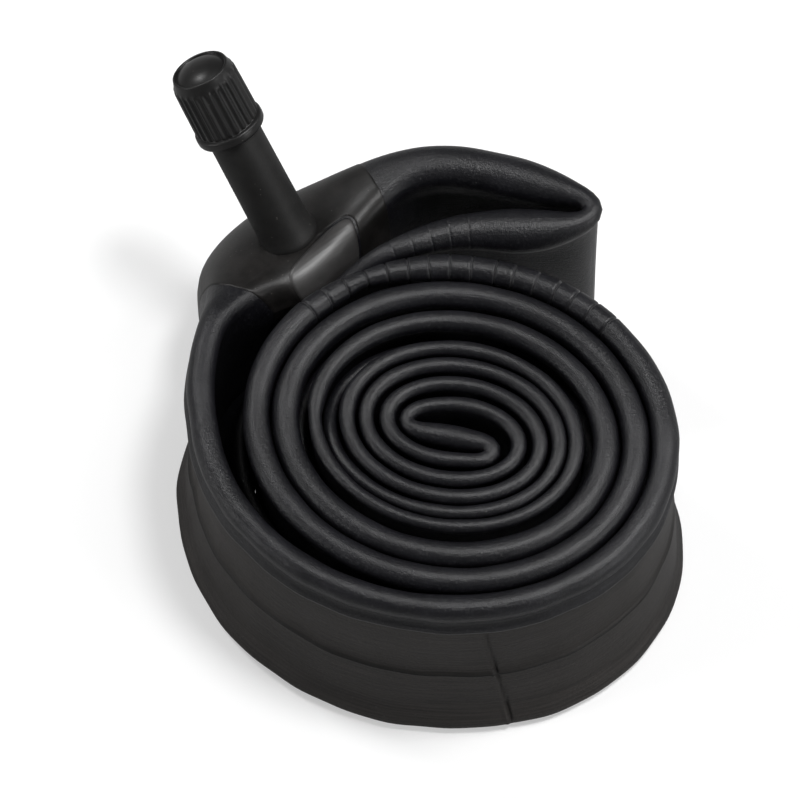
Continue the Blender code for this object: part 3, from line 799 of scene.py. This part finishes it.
def metal(name, dark, light, rough):
    """Turned metal with a fine uneven grain and a little tarnish."""
    result, tree, shader, place = new_material(name)
    tarnish = noise(tree, place, 0.8, 4.0, 0.6)
    lathe = noise(tree, place, 9.0, 2.0, 0.5)
    tree.links.new(tint(tree, tarnish, dark, light), shader.inputs["Base Color"])
    uneven = calc(tree, "ADD", rough, calc(tree, "MULTIPLY", lathe, 0.18))
    tree.links.new(uneven, shader.inputs["Roughness"])
    tree.links.new(bump(tree, lathe, 0.2, 0.02), shader.inputs["Normal"])
    shader.inputs["Metallic"].default_value = 1.0
    return result


LOOKS = {
    "tube": tube_material(),
    "patch": plain_rubber("patch_rubber", (0.0062, 0.0057, 0.0054), (0.0125, 0.0113, 0.0107),
                          rough=0.34, grain_scale=3.0, grain_depth=0.05, shine=0.34),
    # painted highlight: the pad's base colour is made several times lighter than the patch's, standing
    # in for the glossy highlight along it
    "pad": plain_rubber("pad_rubber_painted_sheen", (0.030, 0.0285, 0.0280), (0.038, 0.0365, 0.0360),
                        rough=0.36, grain_scale=7.0, grain_depth=0.012, shine=0.75),
    "sleeve": plain_rubber("sleeve_rubber", (0.0066, 0.0064, 0.0062), (0.0105, 0.0101, 0.0098),
                           rough=0.50, grain_scale=4.0, grain_depth=0.05, shine=0.36),
    "cap": plain_rubber("cap_plastic", (0.0070, 0.0068, 0.0068), (0.0110, 0.0106, 0.0106),
                        rough=0.30, grain_scale=4.0, grain_depth=0.012, shine=0.34),
    "brass": metal("turned_brass", (0.55, 0.38, 0.15), (0.78, 0.58, 0.27), 0.22),
    "steel": metal("spring_steel", (0.42, 0.42, 0.43), (0.6, 0.6, 0.61), 0.25),
    "seal": plain_rubber("seal_rubber", (0.14, 0.025, 0.016), (0.2, 0.04, 0.028),
                         rough=0.45, grain_scale=5.0, grain_depth=0.02),
}
PIECES = {
    # piece: (look, body, replaced node, material slot)
    tube: ("tube", "tube", "tube_body", "butyl"),
    patch: ("patch", "tube", "valve_patch", "patch"),
    pad: ("pad", "tube", None, "patch"),
    sleeve: ("sleeve", "tube", "stem_sleeve", "jacket"),
    stem: ("brass", "tube", "stem_brass", "brass"),
    cap: ("cap", "cap", "cap_shell", "cap"),
}
for piece, (look, body, node, slot) in PIECES.items():
    piece.data.materials.clear()
    piece.data.materials.append(LOOKS[look])
    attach(piece, body)
    if node:
        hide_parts(node)
KEPT = {
    "core_plug": "brass", "core_barrel": "brass", "pin_stop": "brass", "pin_cup": "brass",
    "core_pin": "steel", "core_spring": "steel",
    "cap_seal": "seal", "barrel_gasket": "seal", "cup_seal": "seal",
}
for node, look in KEPT.items():
    kept = frame["nodes"][node]
    kept.data.materials.clear()
    kept.data.materials.append(LOOKS[look])

# ---------------------------------------------------------------- floor, light and camera

bpy.ops.mesh.primitive_plane_add(size=6.0, location=(0, 0, -0.0002))
floor = bpy.context.object
floor.name = "floor"
paper, tree, shader, place = new_material("pale_floor")
seen = add(tree, "LightPath").outputs["Is Camera Ray"]
tree.links.new(tint(tree, seen, (0.4, 0.4, 0.4), (0.62, 0.62, 0.62)), shader.inputs["Base Color"])
tree.links.new(calc(tree, "MULTIPLY", seen, 0.38), shader.inputs["Emission Strength"])
shader.inputs["Emission Color"].default_value = (1.0, 1.0, 1.0, 1.0)
shader.inputs["Roughness"].default_value = 0.9
floor.data.materials.append(paper)


LIT_POINT = Vector((0.0, 0.0, 0.02))


def area_light(name, location, size, power, long_side=None, shine=1.0):
    """A soft light on the roll, round or, with a long side, a strip lying along Y."""
    data = bpy.data.lights.new(name, "AREA")
    data.shape = "RECTANGLE" if long_side else "DISK"
    data.size = size
    data.size_y = long_side or size
    data.energy = power
    data.specular_factor = shine
    light = bpy.data.objects.new(name, data)
    light.location = location
    light.rotation_mode = "QUATERNION"
    light.rotation_quaternion = (LIT_POINT - Vector(location)).to_track_quat("-Z", "Y")
    bpy.context.scene.collection.objects.link(light)


WORLD_LIGHT = 0.16
world = bpy.data.worlds.new("studio")
world.use_nodes = True
background = world.node_tree.nodes["Background"]
background.inputs["Color"].default_value = (1.0, 1.0, 1.0, 1.0)
background.inputs["Strength"].default_value = WORLD_LIGHT
bpy.context.scene.world = world
area_light("top", (0.22, 0.03, 0.97), 0.18, 4.2, shine=0.45)
area_light("right", (0.56, 0.20, 0.80), 0.22, 4.6, long_side=1.2)
area_light("left", (-0.52, 0.44, 0.74), 0.22, 3.2, shine=1.5)
area_light("low right", (0.82, -0.42, 0.36), 0.30, 2.4)
area_light("low left", (-0.90, -0.20, 0.34), 0.30, 1.8)
bpy.context.scene.view_settings.view_transform = "Standard"

ELEVATION = math.radians(64.0)
DISTANCE = 0.8
TARGET = Vector((0.0, 0.0, 0.032))
FOCAL_LENGTH = 253.8
# the roll sits a little right of and below the picture's middle
SIDE_TURN = math.radians(0.5386)
DOWN_TURN = math.radians(0.386)
camera_data = bpy.data.cameras.new("camera")
camera_data.lens = FOCAL_LENGTH
camera_data.sensor_width = 36.0
camera_data.clip_start = 0.05
camera = bpy.data.objects.new("camera", camera_data)
camera.location = TARGET + DISTANCE * Vector((0.0, -math.cos(ELEVATION), math.sin(ELEVATION)))
camera.rotation_mode = "QUATERNION"
camera.rotation_quaternion = (
    Quaternion((1, 0, 0), math.pi / 2 - ELEVATION)
    @ Quaternion((0, 1, 0), SIDE_TURN)
    @ Quaternion((1, 0, 0), DOWN_TURN)
)
bpy.context.scene.collection.objects.link(camera)
bpy.context.scene.camera = camera
